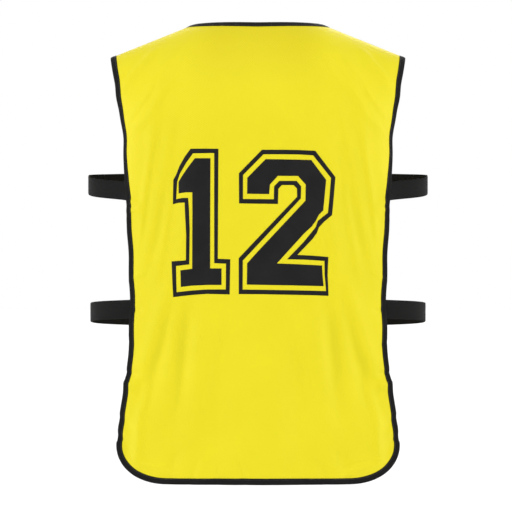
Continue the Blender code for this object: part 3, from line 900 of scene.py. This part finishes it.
def half_loop(side, hand, z, outermost, steps=60, held_steps=10):
    insets = STRAP_HELD - (STRAP_HELD + STRAP_EXIT) * np.arange(held_steps) / held_steps
    held = strap_end(side, hand, z, insets)
    leaving, before = strap_end(side, hand, z, [-STRAP_EXIT, STRAP_EXIT])
    way = leaving - before
    lead = leaving + STRAP_LEAD * way / np.linalg.norm(way)
    turn = outermost + np.array([0.0, STRAP_SWING * leaving[1], 0.0])
    t = np.linspace(0, 1, steps + 1)[:, None]
    loop = (
        (1 - t) ** 3 * leaving + 3 * (1 - t) ** 2 * t * lead
        + 3 * (1 - t) * t**2 * turn + t**3 * outermost
    )
    loop[:, 2] = outermost[2] + (leaving[2] - outermost[2]) * loop[:, 1] / leaving[1]
    return np.concatenate([held, loop])


def strap_line(strap, hand, shift):
    outermost = np.array([hand * strap.reach_x, 0.0, strap.side_z + shift])
    back = half_loop(-1, hand, strap.back_z + shift, outermost)
    front = half_loop(1, hand, strap.front_z + shift, outermost)
    return np.concatenate([back, front[-2::-1]])


def elastic_strap(strap, hand, word):
    """A woven elastic band with thicker rolled edges and shallow lengthwise cords."""
    half = STRAP_WIDTH / 2
    middle = strap_line(strap, hand, 0.0)
    top, bottom = strap_line(strap, hand, half), strap_line(strap, hand, -half)
    ahead = np.gradient(middle, axis=0)
    ahead /= np.linalg.norm(ahead, axis=1, keepdims=True)
    width_way = top - bottom
    width_way /= np.linalg.norm(width_way, axis=1, keepdims=True)
    out = np.cross(width_way, ahead)
    out /= np.linalg.norm(out, axis=1, keepdims=True)
    run = lengths_of(middle)
    shares = np.sin(np.linspace(-pi / 2, pi / 2, 25))
    ring_share = np.concatenate([shares, shares[::-1][1:-1]])
    face = np.concatenate([np.ones(25), -np.ones(23)])
    rounding = np.sqrt(np.clip(1 - np.abs(ring_share) ** 14, 0, 1))
    cords = 1 + 0.07 * np.cos(ring_share * pi * 7) + 0.12 * np.abs(ring_share) ** 6
    height = face * rounding * cords * STRAP_THICKNESS / 2
    columns, uv = [], []
    for k, (share, h) in enumerate(zip(ring_share, height)):
        across = (share + 1) / 2
        base = bottom + (top - bottom) * across
        bend = middle - (top + bottom) / 2
        base = base + bend * (1 - share**2)
        columns.append(base + out * h)
        uv.append(np.stack([np.full(len(run), across * STRAP_WIDTH), run], axis=-1))
    columns.append(columns[0])
    uv.append(uv[0])
    grid, places = np.stack(columns, axis=1), np.stack(uv, axis=1)
    made = piece(f"{word}_{strap.name}_elastic", [grid], [places], ELASTIC)
    caps = bmesh.new()
    caps.from_mesh(made.data)
    bmesh.ops.holes_fill(caps, edges=[e for e in caps.edges if e.is_boundary], sides=0)
    bmesh.ops.recalc_face_normals(caps, faces=caps.faces)
    caps.to_mesh(made.data)
    caps.free()
    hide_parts(f"{word}_{strap.name}_strap")
    return made, run[-1]


def strap_sewing(strap, hand, word):
    """Two rows of stitches through each sewn end of a strap, on its inner face."""
    paths = []
    for side, z in ((-1, strap.back_z), (1, strap.front_z)):
        for inset in (0.0105, 0.0135):
            heights = z + np.linspace(-0.013, 0.013, 14)
            ends = strap_end(side, hand, heights, inset, -0.0031)
            inner = strap_end(side, hand, heights, inset, -0.0041)
            paths.append((ends, inner - ends))
    return stitches(f"{word}_{strap.name}_sewing", paths, BLACK_THREAD)


for strap in STRAPS:
    for hand, word in ((-1, "left"), (1, "right")):
        band, length = elastic_strap(strap, hand, word)
        strap_sewing(strap, hand, word)


# The number: points (x, z) in millimetres. They follow the photographed numerals: corners
# were read off enlarged crops, and a scratch program moved them on to the cloth, grew them
# by 0.35 mm and printed this table.
DIGITS = (
    ("number_one_core", (
        (
            (-109.6, -205.6), (-119.7, -220.4), (-124.5, -228.7), (-124.3, -246.5),
            (-112.3, -244.8), (-102.4, -244.9), (-102.1, -278.2), (-103.1, -364.4),
            (-121.0, -366.9), (-120.6, -392.9), (-104.4, -391.0), (-79.7, -389.8), (-57.1, -389.8),
            (-57.1, -363.9), (-74.9, -363.9), (-74.7, -278.3), (-74.3, -191.7), (-98.8, -191.6),
        ),
    )),
    ("number_one_outline", (
        (
            (-112.4, -198.6), (-122.5, -215.8), (-126.7, -228.0), (-128.2, -255.5),
            (-118.2, -253.6), (-108.9, -253.5), (-107.5, -269.9), (-106.4, -302.9),
            (-107.5, -357.6), (-127.9, -360.1), (-127.4, -401.2), (-104.5, -398.6), (-79.8, -396.9),
            (-50.4, -396.8), (-50.1, -356.4), (-68.5, -355.7), (-68.5, -261.9), (-68.4, -183.7),
            (-84.5, -183.8), (-101.7, -184.0),
        ),
        (
            (-114.7, -189.1), (-123.2, -203.9), (-128.4, -217.1), (-133.0, -225.3),
            (-133.5, -263.3), (-124.2, -261.2), (-114.5, -260.8), (-113.2, -286.4),
            (-111.9, -311.1), (-112.6, -351.2), (-135.2, -352.9), (-132.9, -409.0),
            (-104.6, -405.6), (-79.7, -403.8), (-44.4, -404.6), (-43.4, -349.6), (-62.9, -348.8),
            (-62.3, -245.5), (-61.9, -177.0), (-83.7, -176.7), (-105.4, -176.7),
        ),
    )),
    ("number_two_core", (
        (
            (-16.8, -222.4), (-17.1, -247.3), (17.3, -247.8), (18.6, -232.8), (30.9, -219.4),
            (62.4, -219.4), (74.4, -232.7), (74.1, -257.9), (-2.7, -339.9), (-17.1, -356.0),
            (-17.5, -389.2), (7.1, -389.7), (55.0, -390.5), (102.6, -391.7), (100.9, -373.7),
            (100.0, -359.3), (55.0, -357.0), (29.4, -356.1), (71.2, -310.1), (84.0, -298.1),
            (90.4, -289.2), (94.9, -280.0), (101.2, -273.1), (103.5, -250.7), (106.3, -225.4),
            (83.1, -194.4), (39.0, -193.6), (11.8, -193.3),
        ),
    )),
    ("number_two_outline", (
        (
            (-23.4, -218.0), (-23.6, -255.4), (24.6, -255.8), (25.1, -235.7), (33.3, -227.2),
            (60.2, -227.1), (67.3, -235.6), (66.8, -254.5), (-10.2, -337.2), (-23.8, -351.5),
            (-24.1, -396.9), (7.1, -397.3), (55.0, -398.1), (87.1, -398.9), (106.6, -399.4),
            (104.1, -373.7), (103.8, -352.1), (71.0, -350.1), (45.4, -349.6), (70.7, -323.2),
            (84.3, -306.7), (90.1, -299.3), (93.3, -289.6), (100.4, -283.1), (108.7, -276.8),
            (111.5, -250.6), (114.1, -222.4), (85.9, -187.1), (62.9, -185.9), (39.0, -185.7),
            (8.5, -185.7),
        ),
        (
            (-29.9, -215.4), (-29.6, -262.4), (31.1, -263.2), (31.7, -239.6), (36.8, -233.7),
            (55.6, -233.7), (60.7, -239.1), (61.0, -252.0), (-10.7, -327.2), (-30.2, -348.0),
            (-30.2, -404.0), (7.1, -404.3), (55.0, -405.2), (87.1, -406.0), (110.5, -406.9),
            (108.7, -373.7), (109.7, -345.8), (83.8, -343.8), (61.4, -342.7), (74.4, -329.2),
            (85.7, -317.2), (92.0, -308.4), (95.0, -299.6), (102.5, -290.8), (115.2, -280.3),
            (118.3, -250.7), (121.1, -221.0), (89.4, -180.0), (62.9, -178.9), (39.0, -178.6),
            (6.2, -178.6),
        ),
    )),
)
PRINT_CELL = 0.0026


def flat_print(name, loops):
    """A thin printed shape between closed outlines, cut fine so that it follows the folds."""
    built = bmesh.new()
    for loop in loops:
        corners = [built.verts.new((x / 1000, z / 1000, 0)) for x, z in loop]
        for a, b in zip(corners, corners[1:] + corners[:1]):
            built.edges.new((a, b))
    bmesh.ops.triangle_fill(built, use_beauty=True, use_dissolve=True, edges=built.edges)
    xs = [v.co.x for v in built.verts]
    zs = [v.co.y for v in built.verts]
    cuts = [((c, 0, 0), (1, 0, 0)) for c in np.arange(min(xs), max(xs), PRINT_CELL)]
    cuts += [((0, c, 0), (0, 1, 0)) for c in np.arange(min(zs), max(zs), PRINT_CELL)]
    for at, way in cuts:
        bmesh.ops.bisect_plane(
            built, geom=built.verts[:] + built.edges[:] + built.faces[:], dist=1e-6,
            plane_co=at, plane_no=way,
        )
    layer = built.loops.layers.uv.new("cloth")
    flat = np.array([v.co[:2] for v in built.verts])
    along = along_at(ridge_height(flat[:, 0]) - flat[:, 1], -1)
    points = cloth_point(flat[:, 0], along, CLOTH / 2 + 0.00018)
    for index, vert in enumerate(built.verts):
        vert.index = index
    for face in built.faces:
        for loop in face.loops:
            k = loop.vert.index
            loop[layer].uv = (flat[k, 0], along[k])
    for vert, point in zip(built.verts, points):
        vert.co = point
    bmesh.ops.recalc_face_normals(built, faces=built.faces)
    mesh = bpy.data.meshes.new(name)
    built.to_mesh(mesh)
    built.free()
    made = placed(name, mesh, PRINT, 0.00012, 0.0)
    face_out(made, -1)
    return made


prints = [flat_print(name, loops) for name, loops in DIGITS]


# Floor, light and camera
FLOOR_Z = -1.43
FLOOR_HALF = 40
floor_corners = [
    (x * FLOOR_HALF, y * FLOOR_HALF, FLOOR_Z) for x, y in ((-1, -1), (1, -1), (1, 1), (-1, 1))
]
floor_mesh = bpy.data.meshes.new("floor")
floor_mesh.from_pydata(floor_corners, [], [(0, 1, 2, 3)])
floor = bpy.data.objects.new("floor", floor_mesh)
bpy.context.scene.collection.objects.link(floor)
floor_finish = bpy.data.materials.new("floor_pale")
floor_finish.use_nodes = True
floor_shader = floor_finish.node_tree.nodes["Principled BSDF"]
floor_shader.inputs["Base Color"].default_value = (0.9, 0.9, 0.9, 1)
floor_shader.inputs["Roughness"].default_value = 0.9
floor_mesh.materials.append(floor_finish)

world = bpy.data.worlds.new("studio")
bpy.context.scene.world = world
world.use_nodes = True
sky = world.node_tree
sky.nodes["Background"].inputs["Color"].default_value = (1, 1, 1, 1)
way = sky.nodes.new("ShaderNodeTexCoord")
parts = sky.nodes.new("ShaderNodeSeparateXYZ")
height = sky.nodes.new("ShaderNodeMath")
height.operation = "ABSOLUTE"
glow = sky.nodes.new("ShaderNodeMapRange")
glow.interpolation_type = "SMOOTHSTEP"
# a bright white band at eye level all round, and a softer dome over it
for socket, value in zip(list(glow.inputs)[1:5], (0.22, 0.42, 1.0, 0.72)):
    socket.default_value = value
sky.links.new(way.outputs["Generated"], parts.inputs[0])
sky.links.new(parts.outputs["Z"], height.inputs[0])
sky.links.new(height.outputs[0], glow.inputs["Value"])
sky.links.new(glow.outputs["Result"], sky.nodes["Background"].inputs["Strength"])
bpy.context.scene.view_settings.view_transform = "Standard"


def soft_light(name, azimuth, elevation, angle, strength):
    """A distant soft light; azimuth 0 is the camera's side, 90 the picture's right."""
    data = bpy.data.lights.new(name, "SUN")
    data.angle = radians(angle)
    data.energy = strength
    made = bpy.data.objects.new(name, data)
    a, e = radians(azimuth), radians(elevation)
    place = Vector((sin(a) * cos(e), -cos(a) * cos(e), sin(e)))
    made.rotation_mode = "QUATERNION"
    made.rotation_quaternion = (-place).to_track_quat("-Z", "Y")
    bpy.context.scene.collection.objects.link(made)


soft_light("left_side", -74, 6, 20, 1.60)
soft_light("right_side", 74, 6, 20, 1.60)
soft_light("top", -6, 50, 26, 0.95)
soft_light("far_side", 176, 32, 30, 0.90)

CAMERA_DISTANCE = 3.5
FOCAL_PX = 2165.6
PICTURE_PX = 512
CAMERA_X = -0.0032
CAMERA_Z = -0.3445
camera_data = bpy.data.cameras.new("camera")
camera_data.sensor_width = 36
camera_data.lens = FOCAL_PX * 36 / PICTURE_PX
camera = bpy.data.objects.new("camera", camera_data)
camera.location = (CAMERA_X, -CAMERA_DISTANCE, CAMERA_Z)
camera.rotation_euler = (pi / 2, 0, 0)
bpy.context.scene.collection.objects.link(camera)
bpy.context.scene.camera = camera
